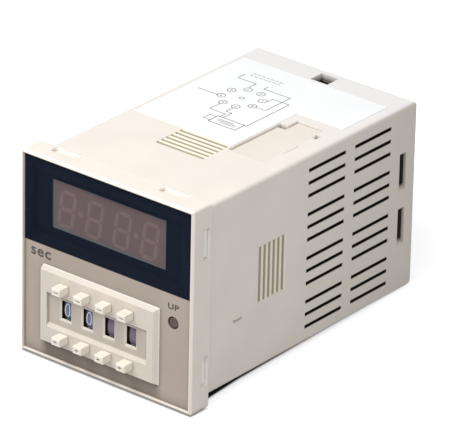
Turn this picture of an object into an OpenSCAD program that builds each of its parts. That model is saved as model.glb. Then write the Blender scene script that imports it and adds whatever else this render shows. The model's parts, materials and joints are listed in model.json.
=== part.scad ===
// Plug-in digital timer for a square panel cut-out, in millimetres.
// Origin: centre of the bezel's rear face, which rests on the panel.
// +X is right seen from the front, +Y runs back into the panel, +Z is up.

/* [Bezel and front sheets] */
// Width and height of the bezel
bezel_w = 48; // [47.5:0.1:50]
// Depth of the bezel in front of the panel
bezel_d = 5.9; // [5.4:0.1:8]
// How far the bezel stands out over the case
lip_w = 1.6; // [1.4:0.1:1.8]
// Width of the front rim
rim_w = 0.7; // [0.5:0.1:0.9]
// How far the front sheets lie behind the rim
rim_step = 0.6; // [0.3:0.1:0.9]
// Thickness of the front sheets
sheet_t = 1.2; // [0.8:0.1:1.4]
// Height of the line where the smoked filter meets the panel sheet
filter_z = 2.8; // [1.5:0.1:4]
// Radius of the bezel's corners
bezel_r = 0.6; // [0.3:0.1:1.2]
// Chamfer round the bezel's front edge
bezel_chamfer = 0.45; // [0.1:0.05:0.45]
// Width of the latch windows in the bezel's sides
latch_w = 7; // [5:0.5:8]
// Distance from the middle to a latch window's centre
latch_x = 15; // [13:0.5:16.5]
// Length of the latch windows along the depth
latch_l = 2.1; // [1.5:0.1:2.4]
// Depth of the latch tabs under the bezel's surface
latch_sink = 0.7; // [0.4:0.1:1]

/* [Case] */
// Length of the case behind the panel
case_l = 72.6; // [70:0.2:90]
// Wall thickness of the case
wall = 1.6; // [1.4:0.1:1.8]
// Radius of the case's long edges
edge_r = 0.9; // [0.4:0.1:1.3]
// Radius of the rear lower edge
heel_r = 1.6; // [0.8:0.1:2.2]
// Distance from the vents to the rear end of the case
vent_rear = 8.8; // [8:0.2:12]
// Length of a vent
vent_l = 12.9; // [8:0.1:13.4]
// Height of a vent
vent_h = 0.9; // [0.5:0.1:1.6]
// Distance between the two vent columns
vent_column_pitch = 16.1; // [14.5:0.1:17]
// Distance between vents in a group of three
vent_pitch = 3.02; // [2.4:0.02:3.2]
// How much less than a quarter of the case's height the groups of vents are apart
vent_margin = 0.7; // [0.4:0.1:1.2]
// Depth of the grip teeth
grip_depth = 0.6; // [0.3:0.05:0.8]
// Front end of the grip teeth
grip_y = 18.2; // [14:0.2:18.4]
// Distance between grip teeth
grip_pitch = 1.56; // [1.2:0.02:1.58]
// Length of the grip teeth across the face
grip_w = 13.2; // [8:0.2:14]

/* [Top of the case] */
// Distance from the top cover to the right side of the case
cover_right = 5.4; // [4.4:0.1:5.6]
// Width of the top cover
cover_w = 9.5; // [8:0.5:10]
// Front edge of the top cover
cover_y = 26; // [24:0.25:27]
// Length of the top cover without its tongue
cover_l = 17.5; // [15:0.25:18]
// Depth of the recess for the cover
cover_sink = 1.1; // [0.8:0.05:1.1]
// Thickness of the cover
cover_t = 0.6; // [0.4:0.05:0.7]
// Thickness of the label
label_t = 0.12; // [0.08:0.02:0.2]

/* [Display] */
// Width of the display window
window_w = 31.7; // [30:0.1:32]
// Height of the display window
window_h = 11.6; // [10:0.1:12.5]
// Sideways place of the window's centre
window_x = -0.6; // [-1:0.1:0]
// Distance from the inside of the case's top down to the window's centre
window_drop = 7.9; // [7.3:0.1:8.3]
// Width of a segment
segment_w = 0.9; // [0.6:0.05:1.1]
// Slant of the digits in degrees
digit_slant = 8; // [0:1:10]
// Depth of the display body
display_d = 7; // [6:0.1:8]

/* [Setting switch] */
// Distance between the switch's columns
cell_pitch = 6.07; // [5.95:0.01:6.2]
// Sideways place of the switch's centre
switch_x = -2.1; // [-2.4:0.1:-1.8]
// Height of the switch's centre above the inside of the case's floor
switch_rise = 9.7; // [9.5:0.1:9.9]
// How far the switch frame stands out of the sheet
frame_out = 1; // [0.8:0.1:1.2]
// Depth of the recess round the windows
recess_d = 0.6; // [0.3:0.1:0.65]
// Width of a digit window
eye_w = 2.6; // [1.8:0.1:2.7]
// Height of a digit window
eye_h = 4.3; // [3.4:0.1:4.5]
// Width of a button
button_w = 2.45; // [2:0.05:2.7]
// Height of a button
button_h = 1.75; // [1.4:0.05:1.9]
// How far a button stands out of the frame
button_out = 2.8; // [2.2:0.1:3.2]
// Travel of a button
button_travel = 1.6; // [1.2:0.1:1.6]
// Radius of the digit wheels
drum_r = 5.9; // [5.6:0.1:5.9]
// Radius of the wheel axle
axle_r = 1; // [0.8:0.05:1.2]
// Outer radius of a button spring
spring_r = 0.9; // [0.8:0.05:0.95]
// Wire radius of a button spring
spring_wire_r = 0.14; // [0.1:0.02:0.18]

/* [Boards] */
// Thickness of the circuit boards
board_t = 1.6; // [1.2:0.1:1.6]
// Space between a side board and the case's wall
side_space = 1.3; // [1.2:0.1:1.8]

/* [Plug] */
// Thickness of the rear base
base_t = 2.4; // [2:0.1:3.5]
// Radius of the round boss that carries the pins
boss_r = 15.5; // [13.5:0.5:18]
// Height of the round boss
boss_h = 1.6; // [1:0.1:3]
// Diameter of the circle through the pins
pin_circle = 17.45; // [17:0.05:18]
// Radius of a plug pin
pin_r = 1.18; // [1:0.01:1.3]
// Length of a plug pin outside the boss
pin_l = 11.1; // [9:0.1:13]
// Radius of the key post
post_r = 3.95; // [3.5:0.05:4.3]
// Length of the key post
post_l = 14.2; // [13.4:0.1:16]

/* [Hidden] */
// Clearances: between fitted pieces, round a sliding piece, between faces at rest, and between
// the case's walls and a piece pushed in from behind
fit = 0.1;
slide_gap = 0.1;
rest_gap = 0.05;
push_gap = 0.15;
// Cuts run past the solid by this much, and joined solids share this much
past = 1;
weld = 0.2;

// Widths across, and planes along the depth from the front to the back
case_w = bezel_w - 2 * lip_w;
case_half = case_w / 2;
inner_half = case_half - wall;
sheet_half = bezel_w / 2 - rim_w - fit;
sheet_y = -bezel_d + rim_step;
ledge_y = sheet_y + sheet_t;
spigot_y = ledge_y + 2 * fit;
mask_t = 0.2;
filter_back_y = ledge_y - mask_t - rest_gap;
base_y = case_l - 2 * fit;
base_front_y = base_y - base_t;
boss_y = base_y + boss_h;
base_space = 4;
base_board_y = base_front_y - base_space;

// Latch windows of the bezel and the ramp on the case's tabs
latch_back = 0.4;
latch_y = -latch_back - latch_l;
latch_ramp = 0.6;

// Slots in the rear of the side walls, which hold the base's hooks
slot_rear = 5.4;
slot_y = case_l - slot_rear;
slot_l = 2.3;
slot_low = 2.1;
slot_high = 11.2;
slot_slope = 1.2;
// Square holes in the rear of the top and bottom walls
hatch_rear = 6.2;
hatch_y = case_l - hatch_rear;
hatch_l = 4.2;
hatch_w = 4.7;

// Vents
vent_y = case_l - vent_rear - vent_column_pitch - vent_l;
vent_group_pitch = case_w / 4 - vent_margin;

// Grip teeth: number, width of the groove's floor, and gap before the next tooth
grip_teeth_n = 6;
grip_floor = 0.3;
grip_land = 0.15;
grip_end = grip_y + grip_teeth_n * grip_pitch;

// Raised mould mark on the right side
mark_y = 9.9;
mark_z = -8.1;
mark_l = 2.6;
mark_h = 0.9;
mark_t = 0.25;

// Top cover: tongue at its rear, cut rear corner, thumb ramp and pry notch on its right
cover_x = case_half - cover_right - cover_w;
cover_end = cover_y + cover_l;
cover_gap = push_gap;
tongue_in = 2.1;
tongue_l = 3.5;
tongue_end_gap = 0.5;
corner_cut = 1;
thumb_in = 5.8;
thumb_l = 5.7;
thumb_w = 1.3;
thumb_depth = 0.5;
pry_in = 1.3;
pry_w = 1.3;
pry_l = 1.9;

// Label outline
label_left_in = 1.9;
label_right_in = 2.7;
label_left = case_half - label_left_in;
label_right = case_half - label_right_in;
label_margin = 3;
label_step_y = cover_end + tongue_l + label_margin;
label_edge = 0.5;
label_rear = 0.8;
label_end_y = hatch_y - label_rear;

// Display stack
display_y = spigot_y;
display_frame = 0.6;
display_board_y = display_y + display_d;
window_z = inner_half - window_drop;
segment_depth = 0.5;
segment_gap = 0.12;
digit_space = 3.1;
digit_margin = 1.3;
digit_side = 0.45;
digit_pitch = (window_w - 2 * digit_side) / 4;
digit_w = digit_pitch - digit_space;
digit_h = window_h - 2 * digit_margin;
digit_left = 0.4;
digit_drop = 0.65;
digit_x = window_x - digit_left;
digit_z = window_z - digit_drop;
point_r = 0.7;
point_z = 0.1;

// Lamp
lamp_in = 4.8;
lamp_under = 6.6;
lamp_x = sheet_half - lamp_in;
lamp_z = filter_z - lamp_under;
lamp_r = 1.35;
lamp_sink = 0.15;
lamp_l = 3.4;
lamp_dome = 0.25;
lamp_flange_r = 1.8;
lamp_flange_t = 0.8;
lamp_leg_r = 0.25;
lamp_leg_x = 0.9;

// Display board, with the leg that carries the lamp
display_board_in = 0.8;
display_board_half = inner_half - display_board_in;
display_board_low = 3;
display_leg_side = 4.4;
display_leg_under = 4.2;
display_leg_x = lamp_x - display_leg_side;
display_leg_low = lamp_z - display_leg_under;

// Setting switch: planes along the depth
frame_y = sheet_y - frame_out;
plate_back_y = sheet_y + fit;
recess_y = frame_y + recess_d;
move_gap = 0.3;
drum_y = plate_back_y + move_gap + drum_r;
arm_l = 12.5;
arm_y = plate_back_y + arm_l;
spring_packed = 3.3;
spring_space = spring_packed + button_travel;
housing_back_y = arm_y + spring_space;
switch_z = switch_rise - inner_half;
// Switch frame: reach from the switch's centre, and chamfers
frame_past_left = 6.6;
frame_past_right = 7.8;
frame_left = 1.5 * cell_pitch + frame_past_left;
frame_right = 1.5 * cell_pitch + frame_past_right;
frame_top = 9.6;
frame_bottom = 8.8;
chamfer_top = 1;
chamfer_right = 1.2;
chamfer_bottom = 0.45;
// Recess and digit windows, from the switch's centre
recess_side = 4.95;
recess_top = 3.65;
recess_bottom = 4.6;
recess_slope = 0.9;
eye_bevel = 0.55;
eye_bevel_d = 0.35;
eye_z = 0.3;
// Housing
cell_wall = 0.8;
cell_half = (cell_pitch - cell_wall) / 2;
housing_side = 1;
housing_half_x = 2 * cell_pitch + housing_side;
housing_wall = 0.7;

// Digit wheel
ratchet_t = 0.9;
ratchet_tip = 3.3;
ratchet_root = 2.5;
teeth = 10;
bore_gap = 0.05;
wheel_half = cell_half - move_gap;
drum_w = 2 * (wheel_half - ratchet_t);
drum_rim = 1.1;
drum_web = 1;
hub_r = 2;

// Buttons, from the switch's centre
button_off = drum_r + rest_gap;
arm_gap = 0.4;
arm_h = 1.2;
arm_z = drum_r + arm_gap;
arm_top = arm_z + arm_h;
housing_half_z = arm_top + move_gap + housing_wall;
shoulder_t = 0.7;
shoulder_half = 1.7;
button_edge = 0.18;
pawl_l = 1;
pawl_back = 0.9;
pad_half = 1.1;
pad_drop = 0.4;
pad_low = arm_z - pad_drop;
pad_t = 1;
minus_l = 1.5;
plus_l = 1.2;
sign_t = 0.26;
sign_d = 0.15;
spring_rise = 0.45;
spring_z = arm_z + spring_rise;
spring_l = housing_back_y - arm_y - 2 * rest_gap;
spring_turns = 5;
spring_steps = 10;
spring_sides = 6;

// Rear base and plug
hook_wall = 1.2;
hook_h = 1.1;
hook_gap = 0.2;
hook_ramp = 0.8;
hook_back = 0.6;
base_half = inner_half - push_gap;
base_board_in = 2.8;
base_board_half = inner_half - base_board_in;
pin_count = 8;
pin_tip = 0.6;
pin_tail_r = 0.6;
pin_tail_l = 6;
pin_collar_r = 1.8;
pin_collar_t = 0.5;
pin_root_r = 1.5;
pin_hollow_r = 0.7;
pin_hollow_l = 1.5;
post_tip = 0.8;
post_root_r = 3;
key_half = 1.1;
key_r = 5.1;
key_l = 13;

// Side boards lie between the display board and the base board, in the case's rails
side_board_x = inner_half - side_space - board_t;
side_board_y = display_board_y + board_t + fit;
side_board_end = base_board_y - fit;
side_board_l = side_board_end - side_board_y;
side_board_half = inner_half - push_gap;
rail_t = 0.8;
rail_h = 1.4;

// Parts on the side boards: their rows along the boards, near the front and near the back
front_row_y = side_board_y + 0.31 * side_board_l;
rear_row_y = side_board_y + 0.71 * side_board_l;
top_row_in = 9.8;
low_row_in = 7.8;
top_row_z = inner_half - top_row_in;
low_row_z = low_row_in - inner_half;

// Transformer: a leg core with two windows, and the coil round its middle leg
core_leg = 8;
core_window_l = 6;
core_window_h = 15;
core_l = 2 * (core_leg + core_window_l);
core_h = core_window_h + core_leg;
core_t = 10;
core_lift = 1.8;
coil_gap = 0.2;
coil_half_x = 8.4;
coil_foot = 2;
bobbin_t = 0.7;
transformer_z = core_h / 2 + core_lift - inner_half;
transformer_x = side_board_x - coil_half_x - coil_gap;

// Relay, chip, crystal and capacitors
relay_l = 20;
relay_w = 10;
relay_h = 15.5;
relay_edge = 0.6;
chip_l = 19.5;
chip_w = 6.4;
chip_h = 3.3;
chip_lift = 0.5;
chip_z = -4;
chip_leg_pitch = 2.54;
chip_leg_z = 3.4;
chip_leg_t = 0.6;
chip_leg_h = 2.3;
crystal_l = 6.4;
crystal_d = 4.6;
crystal_h = 3.5;
can_groove = 0.35;
can_groove_h = 1.4;
can_edge = 0.4;
supply_r = 6.25;
supply_h = 20;
small_r = 3.15;
small_h = 11;
small_z = -8;
film_l = 13;
film_w = 6;
film_h = 12;
film_edge = 0.5;
header_w = 2.5;
header_l = 14;
header_in = 8.8;
header_z = inner_half - header_in;
socket_pitch = 2.2;
socket_w = 0.8;
socket_depth = 1;

// Box between two opposite corners
module box(low, high) {
    translate(low) cube(high - low);
}

// Extrudes a shape drawn in X and Z from y0 to y1
module along_y(y0, y1) {
    translate([0, y1, 0]) rotate([90, 0, 0]) linear_extrude(y1 - y0) children();
}

// Extrudes a shape drawn in Y and Z from x0 to x1
module along_x(x0, x1) {
    translate([x0, 0, 0]) rotate([90, 0, 90]) linear_extrude(x1 - x0) children();
}

// Extrudes a shape drawn in X and Y from z0 to z1
module along_z(z0, z1) {
    translate([0, 0, z0]) linear_extrude(z1 - z0) children();
}

// Round bar along Y
module rod_y(r, y0, y1) {
    translate([0, y0, 0]) rotate([-90, 0, 0]) cylinder(r = r, h = y1 - y0, $fn = 32);
}

// Round bar along X
module rod_x(r, x0, x1) {
    translate([x0, 0, 0]) rotate([0, 90, 0]) cylinder(r = r, h = x1 - x0, $fn = 32);
}

// Solid turned about an axis along Y: the outline is drawn as radius and depth
module turned_y() {
    rotate([-90, 0, 0]) rotate_extrude($fn = 48) children();
}

// Solid turned about an axis along X: the outline is drawn as radius and X
module turned_x() {
    rotate([0, 90, 0]) rotate_extrude($fn = 64) children();
}

module rounded_square(w, r) {
    square([w, w - 2 * r], center = true);
    square([w - 2 * r, w], center = true);
    for (x = [-1, 1], z = [-1, 1])
        translate([x * (w / 2 - r), z * (w / 2 - r)]) circle(r = r, $fn = 32);
}

// Runs its children on the four long sides, turned about Y
module on_four_sides() {
    for (turn = [0:90:270]) rotate([0, turn, 0]) children();
}

// Copies its children to the left side
module both_sides() {
    children();
    mirror([1, 0, 0]) children();
}

// Front pieces

module front_bezel() color("#ece4d2") difference() {
    along_y(-bezel_d, 0) rounded_square(bezel_w, bezel_r);
    along_y(-bezel_d - past, ledge_y) square(2 * (sheet_half + fit), center = true);
    along_y(ledge_y - past, past) square(case_w + 2 * fit, center = true);
    on_four_sides() {
        for (side = [-1, 1])
            translate([side * latch_x, 0, 0])
                box([-latch_w / 2, latch_y, case_half], [latch_w / 2, latch_y + latch_l, bezel_w]);
        along_x(-bezel_w, bezel_w)
            polygon([[-bezel_d - past, bezel_w / 2 - bezel_chamfer - past],
                     [-bezel_d + bezel_chamfer + past, bezel_w / 2 + past],
                     [-bezel_d - past, bezel_w / 2 + past]]);
    }
}

module front_panel() color("#b2a699") difference() {
    box([-sheet_half, sheet_y, -sheet_half], [sheet_half, ledge_y, filter_z - fit / 2]);
    translate([switch_x, 0, switch_z])
        box([-housing_half_x - fit, sheet_y - past, -housing_half_z - fit],
            [housing_half_x + fit, ledge_y + past, housing_half_z + fit]);
    translate([lamp_x, 0, lamp_z]) rod_y(lamp_r + fit, sheet_y - past, ledge_y + past);
}

module display_filter() color("#1c222c", 0.6)
    box([-sheet_half, sheet_y, filter_z + fit / 2], [sheet_half, filter_back_y, sheet_half]);

module display_mask() color("#101216") difference() {
    box([-sheet_half, ledge_y - mask_t, filter_z + fit / 2], [sheet_half, ledge_y, sheet_half]);
    translate([window_x, 0, window_z])
        box([-window_w / 2, ledge_y - past, -window_h / 2],
            [window_w / 2, ledge_y + past, window_h / 2]);
}

// Case

// Side view of the case: a long rectangle with its two rear corners rounded
module case_profile() {
    difference() {
        translate([spigot_y, -case_half]) square([case_l - spigot_y, case_w]);
        translate([case_l - heel_r, -case_half - past]) square([heel_r + past, heel_r + past]);
        translate([case_l - edge_r, case_half - edge_r]) square([edge_r + past, edge_r + past]);
    }
    translate([case_l - heel_r, heel_r - case_half]) circle(r = heel_r, $fn = 48);
    translate([case_l - edge_r, case_half - edge_r]) circle(r = edge_r, $fn = 32);
}

// The two tabs on the top of the spigot that snap into the bezel's windows
module latch_tabs() {
    for (side = [-1, 1])
        translate([side * latch_x, 0, 0])
            along_x(fit - latch_w / 2, latch_w / 2 - fit)
                polygon([[latch_y + fit, case_half - weld],
                         [latch_y + fit, bezel_w / 2 - latch_sink - latch_ramp],
                         [latch_y + fit + latch_ramp, bezel_w / 2 - latch_sink],
                         [latch_y + latch_l - fit, bezel_w / 2 - latch_sink],
                         [latch_y + latch_l - fit, case_half - weld]]);
}

module vents() {
    for (column = [0, 1], group = [-1.5:1:1.5], slot = [-1:1])
        translate([inner_half - past, vent_y + column * vent_column_pitch,
                   group * vent_group_pitch + slot * vent_pitch - vent_h / 2])
            cube([wall + 2 * past, vent_l, vent_h]);
}

// Two slots, each with a sloped lower end, for one side wall
module latch_slots() {
    for (low = [slot_low, -slot_high])
        translate([0, 0, low])
            along_y(slot_y, slot_y + slot_l)
                polygon([[inner_half - past, slot_slope], [inner_half, slot_slope],
                         [case_half, 0], [case_half + past, 0],
                         [case_half + past, slot_high - slot_low],
                         [inner_half - past, slot_high - slot_low]]);
}

// One patch of saw teeth on the top face
module grip_grooves() {
    for (i = [0:grip_teeth_n - 1])
        translate([0, grip_y + i * grip_pitch, case_half])
            along_x(-grip_w / 2, grip_w / 2)
                polygon([[0, past], [0, -grip_depth], [grip_floor, -grip_depth],
                         [grip_pitch - grip_land, 0], [grip_pitch - grip_land, past]]);
}

// Outline of the top cover with its tongue, grown by a gap
module cover_outline(gap) {
    translate([cover_x - gap, cover_y - gap]) square([cover_w + 2 * gap, cover_l + 2 * gap]);
    translate([cover_x + tongue_in - gap, cover_end - weld])
        square([cover_w - tongue_in - tongue_end_gap + 2 * gap, tongue_l + weld + gap]);
}

// Recess for the cover, and beside it a ramp for the thumb and a notch to pry at
module cover_recess() {
    along_z(case_half - cover_sink, case_half + past) cover_outline(cover_gap);
    translate([cover_x + cover_w, 0, 0]) {
        along_y(cover_y + thumb_in, cover_y + thumb_in + thumb_l)
            polygon([[0, case_half + past], [0, case_half - thumb_depth], [thumb_w, case_half],
                     [thumb_w, case_half + past]]);
        translate([0, cover_end - pry_in, case_half - cover_sink])
            cube([pry_w, pry_l, cover_sink + past]);
    }
}

// Guide rails on both sides of each side board, at the top and at the bottom
module rails() {
    apart = board_t / 2 + fit + rail_t / 2;
    for (side = [-1, 1], edge = [-1, 1], end = [-1, 1])
        translate([side * (side_board_x + board_t / 2) + edge * apart, 0,
                   end * (inner_half - (rail_h - weld) / 2)])
            box([-rail_t / 2, side_board_y + past, -(rail_h + weld) / 2],
                [rail_t / 2, side_board_end - past, (rail_h + weld) / 2]);
}

module main_case() color("#e6ddca") {
    difference() {
        union() {
            intersection() {
                along_y(spigot_y, case_l) rounded_square(case_w, edge_r);
                along_x(-case_half, case_half) case_profile();
            }
            on_four_sides() latch_tabs();
            translate([case_half - weld, mark_y, mark_z]) cube([weld + mark_t, mark_l, mark_h]);
        }
        along_y(spigot_y - past, case_l + past) square(2 * inner_half, center = true);
        both_sides() vents();
        both_sides() latch_slots();
        box([-hatch_w / 2, hatch_y, -case_w], [hatch_w / 2, hatch_y + hatch_l, case_w]);
        on_four_sides() grip_grooves();
        cover_recess();
    }
    rails();
}

module top_cover() color("#ebe2cf")
    along_z(case_half - cover_sink, case_half - cover_sink + cover_t) difference() {
        cover_outline(0);
        translate([cover_x - past, cover_end - corner_cut])
            square([tongue_in + past, corner_cut + past]);
    }

module top_label() color("#fafafa")
    along_z(case_half, case_half + label_t)
        polygon([[-label_left, grip_end + fit], [cover_x - label_edge, grip_end + fit],
                 [cover_x - label_edge, label_step_y], [label_right, label_step_y],
                 [label_right, label_end_y], [-label_left, label_end_y]]);

// Rear base and plug

// Runs its children at each of the eight pin places
module at_pins() {
    for (i = [1:pin_count]) at_pin(i) children();
}

module at_pin(i) {
    turn = (i - 0.5) * 360 / pin_count - 90;
    translate([cos(turn) * pin_circle / 2, 0, sin(turn) * pin_circle / 2]) children();
}

// Latch tongues with hooks that reach into the slots of one side wall
module side_hooks() {
    for (low = [slot_low, -slot_high])
        along_z(low + slot_slope + hook_gap, low + slot_high - slot_low - hook_gap)
            polygon([[base_half - hook_wall, slot_y], [base_half, slot_y],
                     [base_half, slot_y + slot_l - fit - hook_ramp - hook_back],
                     [base_half + hook_h, slot_y + slot_l - fit - hook_back],
                     [base_half + hook_h, slot_y + slot_l - fit],
                     [base_half, slot_y + slot_l - fit],
                     [base_half, base_front_y + weld],
                     [base_half - hook_wall, base_front_y + weld]]);
}

module rear_base() color("#ded5c2") difference() {
    union() {
        along_y(base_front_y, base_y) square(2 * base_half, center = true);
        rod_y(boss_r, base_y - weld, boss_y);
        both_sides() side_hooks();
        for (end = [-1, 1])
            translate([0, 0, end * (base_half - hook_wall / 2)])
                box([-hatch_w / 2 + hook_gap, hatch_y + hatch_l / 3, -hook_wall / 2],
                    [hatch_w / 2 - hook_gap, base_front_y + weld, hook_wall / 2]);
    }
    at_pins() rod_y(pin_root_r + fit / 5, base_front_y - past, boss_y + past);
    rod_y(post_root_r + fit / 5, base_front_y - past, boss_y + past);
}

// Post in the middle of the pins, with its key below and its root in the rear base
module key_post() color("#ded5c2") {
    turned_y() polygon([[0, base_front_y], [post_root_r, base_front_y], [post_root_r, boss_y],
                        [post_r, boss_y], [post_r, boss_y + post_l - post_tip],
                        [post_r - post_tip, boss_y + post_l], [0, boss_y + post_l]]);
    box([-key_half, boss_y, -key_r], [key_half, boss_y + key_l, 0]);
}

// Hollow pin with a collar inside the base and a tail through the base board
module plug_pin(i) color("#c9b37a") at_pin(i) difference() {
    turned_y() polygon([[0, base_front_y - pin_tail_l], [pin_tail_r, base_front_y - pin_tail_l],
                        [pin_tail_r, base_front_y - pin_collar_t],
                        [pin_collar_r, base_front_y - pin_collar_t], [pin_collar_r, base_front_y],
                        [pin_root_r, base_front_y], [pin_root_r, boss_y], [pin_r, boss_y],
                        [pin_r, boss_y + pin_l - pin_tip],
                        [pin_hollow_r, boss_y + pin_l], [0, boss_y + pin_l]]);
    rod_y(pin_hollow_r - fit, boss_y + pin_l - pin_hollow_l, boss_y + pin_l + past);
}

// Boards

module base_board() color("#4e7a45") difference() {
    along_y(base_board_y, base_board_y + board_t) square(2 * base_board_half, center = true);
    at_pins() rod_y(pin_tail_r + fit, base_board_y - past, base_board_y + board_t + past);
}

module display_board() color("#4e7a45") difference() {
    along_y(display_board_y, display_board_y + board_t)
        polygon([[-display_board_half, display_board_low], [display_leg_x, display_board_low],
                 [display_leg_x, display_leg_low], [display_board_half, display_leg_low],
                 [display_board_half, display_board_half],
                 [-display_board_half, display_board_half]]);
    at_lamp_legs() rod_y(lamp_leg_r + fit, display_board_y - past, display_board_y + board_t + past);
}

module side_board(side) color("#4e7a45")
    translate([side * (side_board_x + board_t / 2), 0, 0])
        box([-board_t / 2, side_board_y, -side_board_half],
            [board_t / 2, side_board_end, side_board_half]);

module main_board() side_board(-1);

module power_board() side_board(1);

// Display

// Straight segment with pointed ends, lying along X
module segment(l) {
    half = segment_w / 2;
    tip = l / 2 - segment_gap;
    polygon([[-tip, 0], [half - tip, half], [tip - half, half], [tip, 0], [tip - half, -half],
             [half - tip, -half]]);
}

// All segments of one digit, slanted, with its centre at the origin
module digit() {
    bar = digit_w - segment_w;
    side = (digit_h - segment_w) / 2;
    multmatrix([[1, tan(digit_slant), 0, 0], [0, 1, 0, 0], [0, 0, 1, 0], [0, 0, 0, 1]]) {
        for (z = [-1:1]) translate([0, z * side]) segment(bar);
        for (x = [-1, 1], z = [-0.5, 0.5])
            translate([x * bar / 2, z * side]) rotate(90) segment(side);
    }
}

module display_marks() {
    for (i = [-1.5:1:1.5]) translate([digit_x + i * digit_pitch, digit_z]) digit();
    for (i = [-1, 1]) translate([digit_x + i * digit_pitch, digit_z + point_z])
        circle(r = point_r, $fn = 24);
}

module display_body() color("#6f6260") difference() {
    translate([window_x, 0, window_z])
        box([-window_w / 2 - display_frame, display_y, -window_h / 2 - display_frame],
            [window_w / 2 + display_frame, display_board_y - rest_gap,
             window_h / 2 + display_frame]);
    along_y(display_y - past, display_y + segment_depth) display_marks();
}

module display_segments() color("#7d716f")
    along_y(display_y, display_y + segment_depth) display_marks();

// Lamp

module at_lamp_legs() {
    for (side = [-1, 1]) translate([lamp_x + side * lamp_leg_x, 0, lamp_z]) children();
}

module up_lamp() color("#6a5550") {
    front = sheet_y + lamp_sink;
    translate([lamp_x, 0, lamp_z])
        turned_y() polygon([[0, front], [lamp_r - lamp_dome, front], [lamp_r, front + lamp_dome],
                            [lamp_r, front + lamp_l], [lamp_flange_r, front + lamp_l],
                            [lamp_flange_r, front + lamp_l + lamp_flange_t],
                            [0, front + lamp_l + lamp_flange_t]]);
    at_lamp_legs() rod_y(lamp_leg_r, front + lamp_l + weld, display_board_y + board_t);
}

// Setting switch

// Runs its children at the centre of column i, 1 to 4
module at_cell(i) {
    translate([switch_x + (i - 2.5) * cell_pitch, 0, switch_z]) children();
}

// Front frame: chamfered above, on the right and a little below
module switch_frame() intersection() {
    along_x(-frame_left, frame_right)
        polygon([[sheet_y, -frame_bottom], [frame_y, chamfer_bottom - frame_bottom],
                 [frame_y, frame_top - chamfer_top], [sheet_y, frame_top]]);
    along_z(-frame_bottom, frame_top)
        polygon([[-frame_left, sheet_y], [-frame_left, frame_y],
                 [frame_right - chamfer_right, frame_y], [frame_right, sheet_y]]);
}

// Recessed strip round the windows, with its lower side sloped
module switch_recess() {
    reach = 1.5 * cell_pitch + recess_side;
    along_x(-reach, reach)
        polygon([[frame_y - past, recess_top], [recess_y, recess_top],
                 [recess_y, recess_slope - recess_bottom], [frame_y, -recess_bottom],
                 [frame_y - past, -recess_bottom]]);
}

// Digit window with bevelled sides
module eye() {
    w = eye_w / 2;
    h = eye_h / 2;
    bevel_y = recess_y + eye_bevel_d;
    translate([0, 0, eye_z]) {
        intersection() {
            along_x(-eye_w, eye_w)
                polygon([[recess_y, -h - eye_bevel], [bevel_y, -h], [bevel_y, h],
                         [recess_y, h + eye_bevel]]);
            along_z(-eye_h, eye_h)
                polygon([[-w - eye_bevel, recess_y], [w + eye_bevel, recess_y], [w, bevel_y],
                         [-w, bevel_y]]);
        }
        box([-w, recess_y, -h], [w, plate_back_y + past, h]);
    }
}

module button_holes() {
    half_w = button_w / 2 + slide_gap;
    half_h = button_h / 2 + slide_gap;
    for (z = [-button_off, button_off])
        box([-half_w, frame_y - past, z - half_h], [half_w, plate_back_y + past, z + half_h]);
}

module switch_housing() color("#ebe3d2") difference() {
    translate([switch_x, 0, switch_z]) {
        switch_frame();
        box([-housing_half_x, sheet_y - weld, -housing_half_z],
            [housing_half_x, housing_back_y, housing_half_z]);
    }
    translate([switch_x, 0, switch_z]) switch_recess();
    for (i = [1:4])
        at_cell(i) {
            box([-cell_half, plate_back_y, housing_wall - housing_half_z],
                [cell_half, housing_back_y + past, housing_half_z - housing_wall]);
            eye();
            button_holes();
        }
    translate([0, drum_y, switch_z]) rod_x(axle_r + fit / 5, -bezel_w / 2, bezel_w / 2);
}

module switch_board() color("#4e7a45")
    translate([switch_x, 0, switch_z])
        box([-housing_half_x, housing_back_y, -housing_half_z],
            [housing_half_x, housing_back_y + board_t, housing_half_z]);

module wheel_axle() color("#c4c4c0")
    translate([switch_x, drum_y, switch_z]) rod_x(axle_r, -housing_half_x, housing_half_x);

module ratchet() {
    points = [for (i = [0:teeth - 1], r = [ratchet_root, ratchet_tip])
        r * [cos(i * 360 / teeth), sin(i * 360 / teeth)]];
    linear_extrude(ratchet_t) difference() {
        polygon(points);
        circle(r = axle_r + bore_gap, $fn = 32);
    }
}

// Drum with its digits' rim, a web, a hub and one ratchet on each side
module digit_wheel(i) color("#1a1a20")
    at_cell(i) translate([0, drum_y, 0]) {
        turned_x() {
            translate([axle_r + bore_gap, -wheel_half])
                square([hub_r - axle_r - bore_gap, 2 * wheel_half]);
            translate([hub_r - weld, -drum_web / 2])
                square([drum_r - drum_rim - hub_r + 2 * weld, drum_web]);
            translate([drum_r - drum_rim, -drum_w / 2]) square([drum_rim, drum_w]);
        }
        both_sides() translate([drum_w / 2, 0, 0]) rotate([0, 90, 0]) ratchet();
    }

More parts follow.
